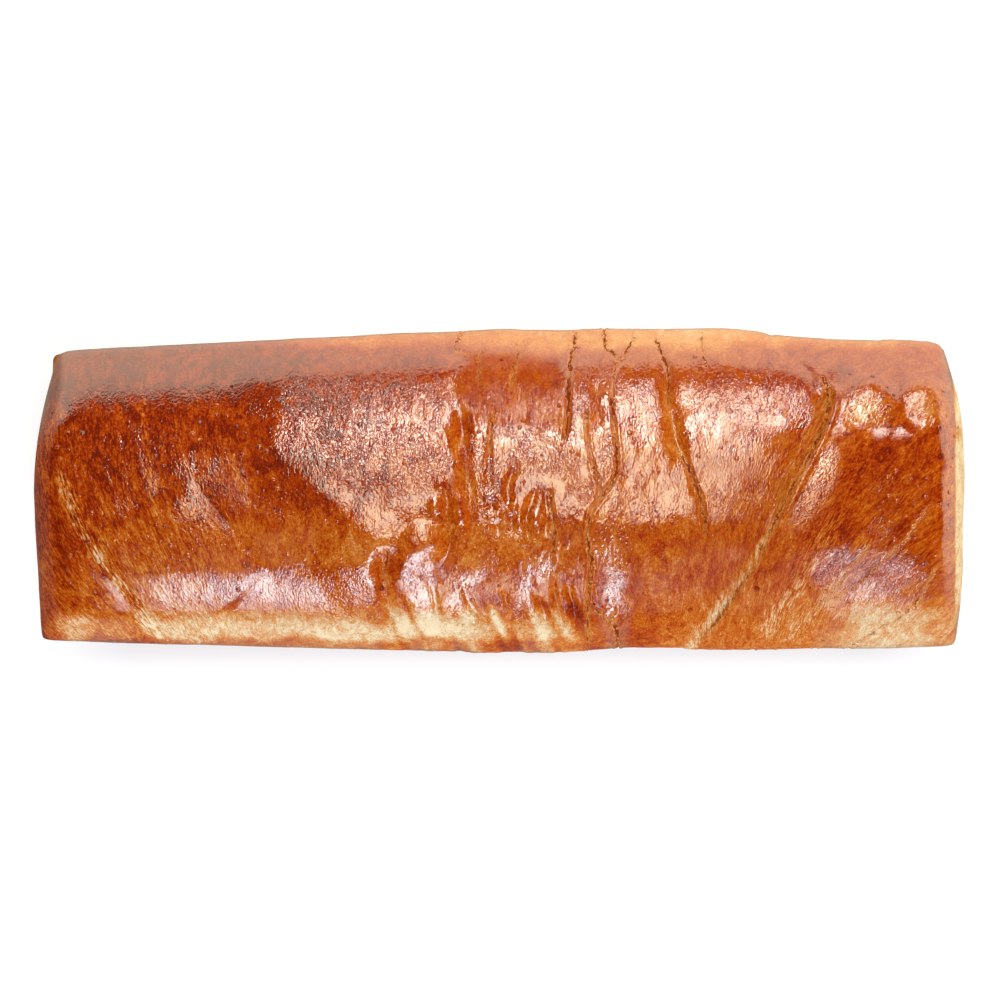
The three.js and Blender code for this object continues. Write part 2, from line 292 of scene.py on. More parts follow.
def away_from(path, x, y, margin=40):
    """Distance to a path, over 0 on the right of one that runs to the front, and the share passed.
    Beyond a margin round the path, the distance is just far."""
    far = 1e3
    distance, along = np.full(x.shape, far), np.zeros(x.shape)
    low, high = path.min(0) - margin, path.max(0) + margin
    near = (x > low[0]) & (x < high[0]) & (y > low[1]) & (y < high[1])
    px, py = x[near], y[near]
    best, passed = np.full(px.shape, far), np.zeros(px.shape)
    for i, (start, run) in enumerate(zip(path[:-1], np.diff(path, axis=0))):
        ex, ey = px - start[0], py - start[1]
        share = np.clip((ex * run[0] + ey * run[1]) / (run @ run), 0, 1)
        gap = np.hypot(ex - share * run[0], ey - share * run[1])
        side = np.where(run[0] * ey - run[1] * ex < 0, -1, 1)
        closer = gap < np.abs(best)
        best = np.where(closer, gap * side, best)
        passed = np.where(closer, (i + share) / (len(path) - 1), passed)
    distance[near], along[near] = best, passed
    return distance, along


def fade(along, share=0.15):
    return ramp(along, 0, share) * ramp(1 - along, 0, share)


# Laps of dough laid over their neighbours. Each path runs from the back to the front and the lap
# lies on its right, or on its left where turned. Its edge is a step, from which it swells up over
# its rounding and then fades over its reach. Beside it runs a dip, and along the main one a lip,
# with a ridge of dough on its other side.
MAIN_FOLD = smooth_path([(116, 38), (118.5, 33), (115.2, 21.5), (106.4, 4.5), (98, -12), (90, -26.5),
                         (79.9, -41), (69, -55.5), (66, -60)])
FOLD_RIDGE = smooth_path([(108, 10), (104.6, 3.5), (96.2, -12), (88.2, -26.4), (78.2, -40.6),
                          (67.4, -55), (64, -60)])
RIDGE_HEIGHT, RIDGE_WIDTH = 0.55, 1.4
STRETCH_MARK = smooth_path([(-109, 4), (-105.4, -2), (-100.6, -7.6), (-95.1, -14), (-90.8, -20),
                            (-83.8, -26), (-80, -30)])
BACK_SEAM = smooth_path([(97.5, 60), (98.5, 54), (106, 47), (111, 42), (113, 36), (117, 31)])
LEFT_SEAM = smooth_path([(-156, 14), (-151.6, -1.2), (-146.7, -14), (-138.6, -26), (-131.8, -33.8),
                         (-125.1, -44), (-118, -58)])
LAPS = [
    dict(path=MAIN_FOLD, step=1.2, swell=1.0, rounding=13, reach=60, dip=0.8, width=6, lip=0.7),
    dict(path=BACK_SEAM, step=-0.4, swell=-0.3, rounding=6, reach=14, dip=1.0, width=3),
    dict(path=STRETCH_MARK, step=0.2, swell=0.7, rounding=16, reach=50, dip=0.3, width=3, turned=True),
    dict(path=LEFT_SEAM, step=0.15, swell=0.1, rounding=8, reach=16, dip=0.4, width=3.4),
]
LAP_EDGE, LIP_PLACE, LIP_WIDTH = (-1.3, 0.1), 0.5, 0.9


def lap_relief(x, y, path, step, swell, rounding, dip, width, reach, turned=False, lip=0):
    distance, along = away_from(path, x, y, 60)
    on_lap = -distance if turned else distance
    past = np.maximum(on_lap, 0)
    rounded = 1 - (1 - np.minimum(past / rounding, 1)) ** 2
    high = (step + swell * rounded) * np.exp(-past / reach) + lip * bell(past - LIP_PLACE, LIP_WIDTH)
    low = -dip * bell(np.minimum(on_lap, 0), width)
    return lerp(low, high, ramp(on_lap, *LAP_EDGE)) * fade(along)


# The middle of the crown bulges: left of this edge of the bulge it slopes down. At the back, both
# ends of the crown are dented as well.
BULGE_EDGE = smooth_path([(-74, 80), (-74, 42), (-76, 28), (-80, 17), (-68, 4), (-56.5, -6),
                          (-43.7, -17), (-35, -24), (-28, -44), (-24, -70), (-22, -90)])
BULGE_SLOPE, BULGE_FOOT = 0.09, 45
DENT_LEFT, DENT_RIGHT = 3.2, 2.6


def bulge_relief(x, y):
    distance, along = away_from(BULGE_EDGE, x, y, 90)
    outside = np.clip(-distance + 0.7 * lumps(x / 4, y / 4, 16, 2), 0, 90)
    return -BULGE_SLOPE * outside * np.exp(-outside / BULGE_FOOT) * fade(along, 0.12)


# Splits where the crust tore open while the crown stretched: a soft dip with a sharp cut in it,
# whose edges curl up a little and stayed pale. Each row is its points, dip, spread, cut, gape and
# rim. The baked crust keeps only a share of the dip, the cut and the gape.
DIP_KEPT, CUT_KEPT, GAPE_KEPT = 0.2, 0.25, 0.5
SPLITS = [
    ([(26.8, 57), (26.3, 52), (24.9, 42.6), (24.4, 34), (24.2, 26), (22.6, 16.1)],
     1.0, 1.8, 2.2, 0.75, 0.15),
    ([(47.4, 60), (47.2, 53.9), (46, 51), (44, 47), (41.4, 43.6), (40.2, 39), (39.6, 32),
      (40.8, 20), (41.5, 11), (41, 5.6), (38.5, 1.2), (34, -5), (31.6, -9)],
     0.9, 1.7, 1.5, 0.5, 0.15),
    ([(33.4, -4), (31.4, -12), (31.3, -18.2), (32.4, -25), (31.6, -34), (31, -42),
      (31.4, -60)], 0.7, 1.6, 1.1, 0.42, 0.3),
    ([(43, 45.4), (39.5, 48.6), (37.6, 50.5), (37, 60)], 0.5, 1.4, 0.7, 0.38, 0.2),
    ([(55.1, 54), (56.9, 49.3), (59.6, 41.5), (59.6, 34), (59, 28)], 0.6, 1.6, 1.6, 0.5, 0.1),
    ([(62.4, 16), (66, 9), (69.4, 1), (71, -4), (72.2, -9), (71.6, -17)], 0.6, 1.6, 1.2, 0.42, 0.1),
    ([(38.5, -44), (41.5, -50), (42, -60)], 1.0, 1.6, 1.3, 0.5, 0.3),
    ([(33.6, -41.6), (36, -43), (38.5, -46.4)], 0.3, 1, 0.7, 0.35, 0.35),
    ([(41.6, -42.6), (40, -44), (38.6, -46.4)], 0.3, 1, 0.7, 0.35, 0.35),
    ([(31.5, 30), (30.6, 24), (31.6, 15), (33.6, 7.2), (35.2, 0.5), (33.4, -6)],
     0.6, 1.4, 0.5, 0.4, 0.12),
    ([(17, 2.4), (22.3, 4.4), (26, 7.6), (31.5, 9)], 0.3, 1.2, 0.4, 0.25, 0),
    ([(18, 0.5), (18.6, -6), (19.4, -15), (18.4, -27.7)], 0.5, 1.5, 1.0, 0.42, 0.1),
    ([(71, 56), (72.8, 42.6)], 0.2, 1.3, 0.35, 0.38, 0.15),
    ([(-6.4, 50), (-6.8, 44), (-7.6, 38)], 0.3, 1.5, 0.35, 0.38, 0.15),
    ([(7.3, 52), (5.6, 44), (3.6, 36)], 0.3, 1.5, 0.35, 0.38, 0.15),
    ([(-12, 57), (-15.5, 50.4), (-9, 47.6)], 0.3, 1.5, 0.35, 0.38, 0.2),
    ([(-2.2, 28), (-3.2, 20), (-3.5, 12)], 0.2, 1.5, 0.5, 0.38, 0.2),
    ([(-39.8, -20), (-38.8, -24.6), (-42, -28.5)], 0.8, 2, 0.8, 0.4, 0.1),
    ([(153.4, -1.2), (143.5, -16), (135.4, -23.5), (125.1, -33), (114.9, -38.7),
      (102.9, -46.5), (91.6, -54), (88, -60)], 0.5, 3.6, 0.3, 0.28, 0.12),
    ([(155, -24), (148.8, -35.5), (142, -43.3), (132.6, -48.8), (125.8, -53.6), (121, -58)],
     0.6, 2.8, 0.4, 0.3, 0.25),
    ([(131, -18), (122, -29), (110, -42), (99, -53), (95, -60)], 0.4, 3, 0.1, 0.16, 0.12),
    ([(147, -30), (137, -38), (124, -47), (112, -56), (108, -60)], 0.4, 2.4, 0.1, 0.16, 0.15),
    ([(116.2, 33), (113.8, 21.5), (105.2, 5), (96.8, -11.4), (90, -24)], 0.2, 1.5, 0.8, 0.42, 0.2),
    ([(94, -19), (89.6, -26.6), (79.6, -41), (69, -55)], 0.2, 1.5, 0.5, 0.36, 0.1),
    ([(113, 41), (115.6, 35), (116, 28)], 0.3, 1.5, 1.0, 0.6, 0.2),
]

# Pleats where the roll was wound tightest: dips between ribs of dough, leaning one way high on the
# crown and the other way low on its front. Each row is its points, depth and width. Then come round
# swellings: gas blisters, ribs' knuckles, a puckered flap, and slow rises and falls of the crown.
PLEATS = [
    ([(-16.6, 46), (-14.8, 27), (-12.6, 18), (-11.6, 7), (-10, -6), (-8, -22)], 0.9, 2.8),
    ([(-6.4, 50), (-7.4, 39), (-7, 30)], 0.35, 1.6),
    ([(-3, 30), (-3.6, 14), (-3.4, 2), (-1.4, -10), (3, -22)], 0.5, 1.5),
    ([(7.1, 52), (4.4, 38), (3.6, 28)], 0.4, 1.8),
    ([(5.4, 12), (3.6, 2), (4.4, -8), (6.6, -20)], 0.55, 1.5),
    ([(13.6, 2), (10.4, -6), (9.4, -12), (11, -20)], 0.6, 1.5),
    ([(-19.6, 6), (-18.4, -5), (-17, -16), (-17.5, -26)], 0.6, 1.6),
    ([(16.6, 2), (16.6, -8), (15.6, -16)], 0.5, 1.4),
    ([(58.2, 50), (59, 36), (60.6, 25), (63.6, 14), (66, 8)], 1.2, 2.5),
    ([(62, 18), (66, 9), (69, 0), (71.6, -8), (71.8, -20)], 0.4, 1.0),
    ([(34.6, 40), (34, 30), (35.6, 20)], 0.6, 1.8),
    ([(-41.5, -24), (-39, -36), (-36, -58)], 1.0, 2.8),
    ([(-25, -30), (-23, -38), (-20, -52)], 0.3, 1.5),
    ([(-14.4, -30), (-11, -38), (-4.4, -48), (3, -56)], 0.45, 1.3),
    ([(0.2, -34), (4.6, -43), (8.6, -52)], 0.45, 1.2),
    ([(12.6, -28), (13.6, -37), (16, -46), (18, -54)], 0.5, 1.3),
    ([(7, -42), (10.6, -52)], 0.35, 1.1),
    ([(18.6, -26), (20, -37), (23, -52)], 0.5, 1.3),
    ([(24.6, -28), (26, -40), (28, -54)], 0.45, 1.3),
]
SWELLINGS = [
    dict(at=(130.5, 29.5), radius=12.5, height=1.1, lean=(0.1, 0.22)),
    dict(at=(149, 30), radius=11.5, height=1.1, lean=(0.12, 0.26)),
    dict(at=(154.4, 24), radius=3.4, height=0.6),
    dict(at=(-27, -19), radius=9, height=1.6),
    dict(at=(-39.5, -25), radius=7, height=-1.0),
    dict(at=(-64, 12), radius=24, height=0.5),
    dict(at=(84, 16), radius=24, height=0.6),
    dict(at=(4, 12), radius=26, height=-0.9),
    dict(at=(140, -27), radius=20, height=1.0),
    dict(at=(-46, -25), radius=20, height=1.6),
    *[dict(at=place, radius=radius, height=0.3 * radius)
      for place, radius in (((-22.4, -5.6), 3), ((-13.4, -3.4), 3), ((-13, -9), 3.4), ((-3.4, -2), 2.6),
                            ((-1.6, -9), 3.2), ((4.4, -6.6), 2.8), ((7.4, -12), 2.6), ((12.8, -9.6), 3),
                            ((-20.6, 2.4), 2.4))],
    dict(at=(133.6, -28), radius=2, height=-0.5),
]


def split_shape(x, y, points, dip, spread, cut, gape, rim):
    """The relief of a split. Its cut and its pale lips follow the distance to it, which is passed on
    with how wide it gapes and how pale its lips are."""
    distance, along = away_from(smooth_path(points), x, y, 12)
    gap = np.abs(distance)
    near = fade(along, 0.12) * ramp(3 - gap, 0, 1)
    open_here = gape * (0.9 + 0.7 * lumps(x / 5, y / 5, 12, 2)) * near
    height = near * (rim * bell(gap - gape - 0.7, 0.5)
                     - DIP_KEPT * dip * bell(distance, 0.7 * spread)
                     - CUT_KEPT * cut * bell(distance, 0.2 + 0.7 * gape))
    return (height, distance, GAPE_KEPT * open_here * min(1, 0.4 + 0.6 * cut),
            near * min(1, 4 * rim))


def pleat_relief(x, y, points, depth, width):
    distance, along = away_from(smooth_path(points), x, y, 15)
    distance = distance + 0.9 * lumps(x / 4, y / 4, 14, 2)
    depth = depth * (1 + 0.6 * lumps(x / 6, y / 9, 15, 2))
    return -depth * bell(distance, width) * fade(along, 0.3)


def swelling_relief(x, y, at, radius, height, lean=(0, 0)):
    """A round swelling. One that leans has a flatter top, which rises along x and y by its lean."""
    off_x, off_y = x - at[0], y - at[1]
    flatness, foot = (3.5, 2.2) if any(lean) else (2, 1.5)
    inside = np.maximum(0, 1 - (np.hypot(off_x, off_y) / radius) ** flatness)
    return (height + lean[0] * off_x + lean[1] * off_y) * inside ** foot


# The pull of the dough: the place across its strands and the place along them. The strands run
# straight over the middle, and lean ever more towards the laps at the ends.
def strands(x, y):
    lean_right = 0.56 * ramp(x, 60, 105) * (y - 40) * (1 + 0.5 * ramp(x, 100, 150) * ramp(-y, -10, 40))
    lean_left = 0.005 * ramp(-x, 60, 120) * np.maximum(0, 30 - y) ** 2
    across = x - lean_right - lean_left
    return across, y


# The torn strip beside the main lap, wide and ragged at the top and a thin line lower down.
TORN_NARROW, TORN_WIDER = 0.5, 7.8


def torn_strip(x, y):
    distance, along = away_from(MAIN_FOLD, x, y, 16)
    ragged_share = 0.8 + 0.35 * lumps(y / 7, y / 50, 21, 2)
    width = TORN_NARROW + TORN_WIDER * ramp(y, -20, 8) * ragged_share
    beside = -distance + 0.6 * lumps(x / 2, y / 2, 22, 2)
    return ramp(beside, -0.1, 0.5) * (1 - ramp(beside, width - 1.5, width + 1.2)) * fade(along, 0.06)


# The mesh's columns follow the stretch mark on the left and the main lap on the right, so that
# their lips are clean edges, and they are closest over the splits of the middle.
COLUMNS, ROWS = 476, 164
COLUMN_WEIGHT = ((-164, 0.62), (-122, 0.62), (-78, 0.75), (-22, 1.6), (76, 1.6), (92, 0.95), (164, 0.9))


def spread_evenly(count, line, weight):
    """Values from -1 to 1 that cut a line into steps of even length, closer where weight is high."""
    values = np.linspace(-1, 1, 8001)
    places = line(values)
    lengths = np.linalg.norm(np.diff(places, axis=0), axis=1) * weight(places[1:])
    total = np.concatenate([[0], np.cumsum(lengths)])
    return np.interp(np.linspace(0, total[-1], count + 1), total, values)


plain_s = spread_evenly(COLUMNS, lambda s: plain_crown(s, 0 * s),
                        lambda place: np.interp(place[:, 0], *np.array(COLUMN_WEIGHT).T))
plain_t = spread_evenly(ROWS, lambda t: plain_crown(0 * t, t), lambda place: 1)


def lean_columns(s, t):
    """Moves the columns sideways in each row so that one follows each of the two laps."""
    half, y = LENGTH / 2, t * WIDTH / 2
    left = np.interp(y, STRETCH_MARK[::-1, 1], STRETCH_MARK[::-1, 0])
    right = np.interp(y, MAIN_FOLD[::-1, 1], MAIN_FOLD[::-1, 0])
    knots = np.array([-half, -98, -50, 45, 98, half])
    moved = knots + 0 * y[..., None]
    moved[..., 1], moved[..., 4] = left, right
    return np.array([np.interp(row, knots / half, goal / half) for row, goal in zip(s.T, moved[0])]).T


S, T = np.meshgrid(plain_s, plain_t, indexing="ij")
S = lean_columns(S, T)
crown_place = plain_crown(S, T)
crown_out = crown_normal(S, T)
X, Y = crown_place[..., 0], crown_place[..., 1]

relief = sum(lap_relief(X, Y, **lap) for lap in LAPS)
relief *= (1 - 0.75 * ramp(-Y, 44, 56)) * (1 - ramp(np.abs(X), 150, 161))
FAR_OFF = 9
split_away, split_open, split_pale = np.full(X.shape, float(FAR_OFF)), 0 * X, 0 * X
for split in SPLITS:
    height, distance, open_here, pale = split_shape(X, Y, *split)
    relief += height
    nearer = np.abs(distance) < np.abs(split_away)
    split_away = np.where(nearer, np.clip(distance, -FAR_OFF, FAR_OFF), split_away)
    split_open = np.where(nearer, open_here, split_open)
    split_pale = np.where(nearer, pale, split_pale)
pleats = sum(pleat_relief(X, Y, *pleat) for pleat in PLEATS)
off_ridge, along_ridge = away_from(FOLD_RIDGE, X, Y, 16)
fold_ridge = bell(off_ridge, RIDGE_WIDTH) * fade(along_ridge)
relief += RIDGE_HEIGHT * fold_ridge
relief += pleats + sum(swelling_relief(X, Y, **swelling) for swelling in SWELLINGS)
dents = (DENT_LEFT * ramp(-X, 74, 110) + DENT_RIGHT * ramp(X, 112, 140)) * ramp(T, 0.25, 0.86)
lowered = bulge_relief(X, Y) - dents

# Fine strands and broad wavering ones, strongest where the dough is wrung in the middle, then the
# slow unevenness of the crown, and a smaller one across its right half.
across, along = strands(X, Y)
torn = torn_strip(X, Y)
wrung = bell(X - 12, 38)
wavering = 2.5 * lumps(X / 14, Y / 14, 35, 1)
relief += lumps(across / 2.8, along / 7, 31, 3) * (0.03 + 0.09 * wrung)
relief += lumps(across / 4.5 + wavering, along / 6, 34, 2) * (0.05 + 0.1 * wrung)
relief += lumps(X / 19, Y / 14, 32, 2) * (0.35 + 0.1 * wrung) * (1 - 0.5 * ramp(-X, 70, 100))
right_half = bell(Y + 4, 14) * ramp(X, 36, 50) * (1 - ramp(X, 100, 116))
relief += 0.16 * lumps(X / 7, Y / 9, 38, 2) * right_half

# Fingers of dough that hang down the front of the crown, pale on their ridges, long strands at
# both ends, and the torn strip's threads.
FINGER_HEIGHT, LONG_STRAND_HEIGHT, TORN_THREAD_HEIGHT = 0.3, 0.03, 0.35
fingers = lumps((X + 0.5 * (Y + 47)) / 2.7, Y / 15, 37, 1) * ramp(-Y, 24, 36)
fingers *= ramp(X, -70, -10) * (1 - ramp(X, 29, 34))
relief += FINGER_HEIGHT * fingers
relief += lumps(across / 3, along / 20, 36, 1) * LONG_STRAND_HEIGHT * ramp(np.abs(X + 4), 80, 106)
relief += lumps(across / 2, along / 6, 33, 1) * TORN_THREAD_HEIGHT * torn
crown_place = crown_place + crown_out * relief[..., None]
crown_place[..., 2] += lowered

# Under the shoulder the skin turns in to the rim of the tin, then runs down the wall to the base.
ROWS_UNDER, ROWS_WALL, ROWS_EDGE = 5, 7, 4


def wall_outline(s, t, z):
    """The tin's outline at a height: tapered, drawn in half way up, with rounded corners and a
    rounded edge round the base."""
    share = z / TIN_RIM
    under = np.clip((BASE_EDGE - z) / BASE_EDGE, 0, 1)
    rounding = BASE_EDGE * (1 - np.sqrt(1 - under ** 2))
    half = TIN_HALF - (TIN_TAPER * (1 - share) + WALL_HOLLOW * np.sin(np.pi * share) + rounding)
    radius = lerp(CORNER_RADIUS_BASE, CORNER_RADIUS_RIM, share)
    place = np.stack([s, t], -1) * half
    core = np.clip(place, radius - half, half - radius)
    out = place - core
    out = out / np.linalg.norm(out, axis=-1, keepdims=True)
    round_place = (core + out * radius) / TIN_HALF
    share_x, share_y = (1 + round_place[..., :1]) / 2, (1 + round_place[..., 1:]) / 2
    back = lerp(*[np.array(corner) for corner in TIN_CORNERS["back"]], share_x)
    front = lerp(*[np.array(corner) for corner in TIN_CORNERS["front"]], share_x)
    return lerp(front, back, share_y)


# The border of the crown, anticlockwise from the front left corner, as columns and rows of its grid.
border = ([(i, 0) for i in range(COLUMNS)] + [(COLUMNS, j) for j in range(ROWS)]
          + [(i, ROWS) for i in range(COLUMNS, 0, -1)] + [(0, j) for j in range(ROWS, 0, -1)])
border_i, border_j = np.array(border).T
border_s, border_t = S[border_i, border_j], T[border_i, border_j]
shoulder = crown_place[border_i, border_j]

rim = wall_outline(border_s, border_t, TIN_RIM)
rings = []
for row in range(1, ROWS_UNDER + 1):
    angle = math.pi / 2 * row / ROWS_UNDER
    place = lerp(rim, shoulder[:, :2], math.cos(angle))
    rings.append(np.column_stack([place, lerp(shoulder[:, 2], TIN_RIM, math.sin(angle))]))
levels = [lerp(TIN_RIM, BASE_EDGE, row / ROWS_WALL) for row in range(1, ROWS_WALL + 1)]
levels += [BASE_EDGE * (1 - math.sin(math.pi / 2 * row / ROWS_EDGE)) for row in range(1, ROWS_EDGE + 1)]
for z in levels:
    place = wall_outline(border_s, border_t, z)
    rings.append(np.column_stack([place, np.full(len(place), z)]))

# How the skin was baked, at each point of the mesh: 0 pale to 1 dark brown, with a painted highlight
# on the tops of the two big domes, the torn and scorched places, the egg glaze, and the place across
# and along the strands.
rough_x, rough_y = X + 6 * lumps(X / 9, Y / 9, 42, 2), Y + 2.5 * lumps(X / 9, Y / 9, 43, 2)


def patch(low_x, high_x, low_y, high_y, soft_x, soft_y):
    """1 over a rectangle of the crown seen from above, with soft and uneven edges."""
    within_x = ramp(rough_x, low_x - soft_x, low_x + soft_x) * (
        1 - ramp(rough_x, high_x - soft_x, high_x + soft_x))
    within_y = ramp(rough_y, low_y - soft_y, low_y + soft_y) * (
        1 - ramp(rough_y, high_y - soft_y, high_y + soft_y))
    return within_x * within_y


def patches(rows):
    """The sum of patches, each with its strength first and then its place."""
    return sum(strength * patch(*place) for strength, *place in rows)


# Each row is a strength, from where to where along the loaf and across it, and how soft the patch
# is along and across. These were baked darker, or paler where the strength is below 0.
BAKED = (
    (-0.46, -122, 30, -90, -44, 12, 5), (0.38, -170, 30, -90, -52.6, 10, 1.5),
    (-0.12, 60, 130, -90, -34, 10, 6), (-0.46, 124, 158, -90, -40, 8, 5),
    (-0.2, -158, -118, -90, -44, 6, 4), (-0.22, -156, -142, -90, -44, 2, 3),
    (-0.18, -150, 20, -46, -8, 16, 8), (0.13, -112, 20, -42, -26, 10, 3),
    (0.08, -40, 30, -27, -8, 8, 4), (0.05, -170, -95, -20, 34, 10, 8),
    (0.12, 126, 170, -30, 50, 14, 12), (0.11, -170, -70, 32, 90, 20, 4),
    (0.08, 10, 125, 35, 49, 12, 3), (-0.26, -80, 170, 51, 90, 30, 2.5),
)
# The tops of the two big domes are painted paler: a painted highlight where the sheen falls on them.
DOME_HIGHLIGHTS, DOME_HIGHLIGHT_RADIUS = ((130.2, 28), (149, 28.6)), 6
dome_highlight_spots = sum(bell(np.hypot(X - x, Y - y), DOME_HIGHLIGHT_RADIUS) for x, y in DOME_HIGHLIGHTS)
beyond_lap = ramp(away_from(MAIN_FOLD, X, Y, 60)[0], 8, 13)
CROWN_BAKE, PALER_RIGHT, UNEVEN_BAKE = 0.86, 0.17, 0.1
bake_and_highlight = CROWN_BAKE - PALER_RIGHT * ramp(X - 0.9 * Y, -100, 10) + patches(BAKED)
bake_and_highlight += UNEVEN_BAKE * lumps(X / 30, Y / 22, 41, 2)
bake_and_highlight += 0.1 * beyond_lap * patch(96, 126, -32, 24, 4, 5) - 0.35 * fingers * ramp(-Y, 34, 44)
# The last term makes the domes' tops paler: a painted highlight.
bake_and_highlight += 0.08 * pleats - 0.16 * fold_ridge - 0.3 * dome_highlight_spots

# The egg covers the crown down to its sides, and was missed or soaked in at these patches.
MISSED = (
    (0.75, -13, 23, 23, 48, 1.5, 2.5), (0.75, -16, -9, -30, 23, 1.5, 2.5),
    (0.75, 32, 36, 20, 40, 1.5, 2.5), (0.75, 57, 64, 16, 40, 1.5, 2.5),
    (0.7, -44, -33, -60, -19, 1.5, 4), (0.7, -21, -17, -60, -19, 1.5, 4),
    (0.7, -5, 6, -60, -19, 1.5, 4), (0.7, 15, 35, -60, -19, 1.5, 4),
    (0.95, 118, 157, 8, 20.5, 3, 2), (0.6, -102, -84, -9, 13, 3, 3),
    (0.9, 44, 114, -60, -12, 3, 4),
)
height_share = (crown_place[..., 2] - SHOULDER) / CROWN_RISE
glaze = ramp(height_share, -0.2, -0.05) * (1 - 0.8 * ramp(-X, 150, 158) * ramp(-Y, -35, -5))
for share, *place in MISSED:
    glaze *= 1 - share * patch(*place)
glaze *= 1 - 0.9 * beyond_lap * patch(90, 130, -20, 24, 4, 3)
glaze *= 1 - 0.6 * bell(away_from(LEFT_SEAM, X + 4, Y, 20)[0], 5)

# The glaze is crinkled, and more so at these patches. Blisters grow thickest where blistered is
# high, and crumbs where crumbly is.
CRINKLED = (
    (0.85, -76, -54, 14, 38, 8, 4), (0.45, -60, -18, 0, 38, 4, 3), (0.16, -120, 130, -46, -26, 8, 3),
    (0.2, -170, 170, 27, 40, 9, 3), (0.4, 110, 160, -48, -22, 6, 4), (0.3, -112, -90, -20, 12, 3, 3),
)
crinkled = 0.06 + 0.16 * ramp(X, -90, -60) * (1 - 0.7 * ramp(X, 112, 124)) + patches(CRINKLED)
crinkled += 0.35 * patch(-14, 46, -12, 44, 4, 4) * ramp(lumps(X / 8, Y / 8, 63, 2), -0.3, 0.3)
crinkled += 0.3 * bell(away_from(MAIN_FOLD, X - 4, Y, 20)[0], 5) + 0.35 * dome_highlight_spots
blistered = ramp(height_share, 0.4, 0.8) * ramp(lumps(X / 16, Y / 16, 61, 2), -0.6, 0.5) * (1 - torn)
blistered *= 1 - 0.6 * patch(-70, 100, -4, 46, 8, 6)
crumbly = np.maximum(torn * ramp(lumps(X / 3, Y / 3, 62, 2), -0.4, 0.3),
                     0.7 * split_pale * bell(np.abs(split_away) - split_open - 0.4, 0.5))

# Strands show most at both ends. Golden threads run along the seam at the left end, in thin lines
# behind it, and on both sides of the main lap.
stranded = (0.25 + 0.75 * ramp(-X, 78, 110) + 0.4 * ramp(X, 70, 102)) * (1 - 0.6 * ramp(Y, 24, 36))
GOLDEN_LINES = (
    (LEFT_SEAM, 3.0, 1.08), (FOLD_RIDGE, 2.2, 0.6),
    ([(-125, 38), (-124, 14), (-121.6, -2), (-119, -10)], 1.6, 0.7),
    ([(-96, 20), (-92, 6), (-86, -8)], 1.5, 0.6),
    ([(120, -6), (106, -30), (91, -53)], 4, 0.8),
    ([(131, -15), (116, -36), (98, -54)], 3, 0.7),
)
golden = 0.3 * ramp(stranded, 0.4, 1)
for line, width, strength in GOLDEN_LINES:
    distance, passed = away_from(smooth_path(line), X, Y, 12)
    golden = np.maximum(golden, strength * bell(distance, width) * fade(passed))

# The right end burst out of the tin in a pale band below the crown's brown edge.
band = ramp(X, 160, 161) * ramp(Y, -48, -36) * (1 - ramp(Y, 44, 52))
bake_and_highlight = lerp(bake_and_highlight, 0.08 + 0.22 * ramp(lumps(Y / 7, X / 3, 46, 3), 0, 0.6), band)
glaze *= 1 - band
golden = golden * (1 - band)

# What the mesh carries at each point. Below the shoulder the skin has no glaze and no strands, and
# is browner at its corners and foot, scorched at the corners of the rim, and torn just above it.
SKIN_VALUES = ("bake_and_highlight", "glaze", "scorch_and_shade", "tear", "crinkled", "stranded", "golden", "torn",
               "blistered", "crumbly", "split_away", "split_open", "split_pale")
SHOULDER_BAKE, WALL_BAKE, BASE_BAKE = 0.28, 0.42, 0.5
WALL_CORNER = (158, 51)


def skin_below(place):
    x, y, z = place.T
    spot = lumps((x + y) / 14, z / 9, 51, 3)
    below = ramp(SHOULDER - z, 0, 16)
    edge = bell(np.abs(np.abs(x) - WALL_CORNER[0]) + np.abs(np.abs(y) - WALL_CORNER[1]), 9)
    return {"bake_and_highlight": (lerp(SHOULDER_BAKE, WALL_BAKE, below) + 0.09 * spot + 0.25 * edge
                     + 0.18 * ramp(-z, -8, 0)),
            "scorch_and_shade": 0.8 * edge * bell(z - TIN_RIM, 4),
            "tear": 0.5 * bell(z - (TIN_RIM + 3), 5) * ramp(spot, -0.6, 0.6)}


def as_columns(skin, count):
    """One column for each of the skin's values, 0 where none is given and far from any split."""
    skin = {"split_away": FAR_OFF, **skin}
    return np.column_stack([np.ravel(skin.get(name, 0)) + np.zeros(count) for name in SKIN_VALUES])


crown_skin = dict(
    bake_and_highlight=bake_and_highlight, glaze=glaze, crinkled=crinkled, stranded=stranded, golden=golden, torn=torn,
    blistered=blistered, crumbly=crumbly, split_away=split_away, split_open=split_open,
    split_pale=split_pale)
base_middle = rings[-1].mean(0)
skin_points = np.vstack([crown_place.reshape(-1, 3), *rings, base_middle])
skin_values = np.vstack([
    as_columns(crown_skin, X.size), *[as_columns(skin_below(ring), len(ring)) for ring in rings],
    as_columns({"bake_and_highlight": BASE_BAKE}, 1)])
flow = np.column_stack([*strands(skin_points[:, 0], skin_points[:, 1]), skin_points[:, 2]])
skin_points[:, :2] -= OUTLINE_MIDDLE

# Its faces: the crown's grid, then each ring joined to the one above, and a fan under the base.
grid = np.arange(X.size).reshape(COLUMNS + 1, ROWS + 1)
faces = [np.stack([grid[:-1, :-1], grid[1:, :-1], grid[1:, 1:], grid[:-1, 1:]], -1).reshape(-1, 4)]
ring = grid[border_i, border_j]
first = grid.size
for _ in rings:
    following = first + np.arange(len(ring))
    faces.append(np.stack([ring, following, np.roll(following, -1), np.roll(ring, -1)], -1))
    ring, first = following, first + len(ring)
faces = np.vstack(faces).tolist()
faces += np.stack([ring, np.full(len(ring), len(skin_points) - 1), np.roll(ring, -1)], -1).tolist()

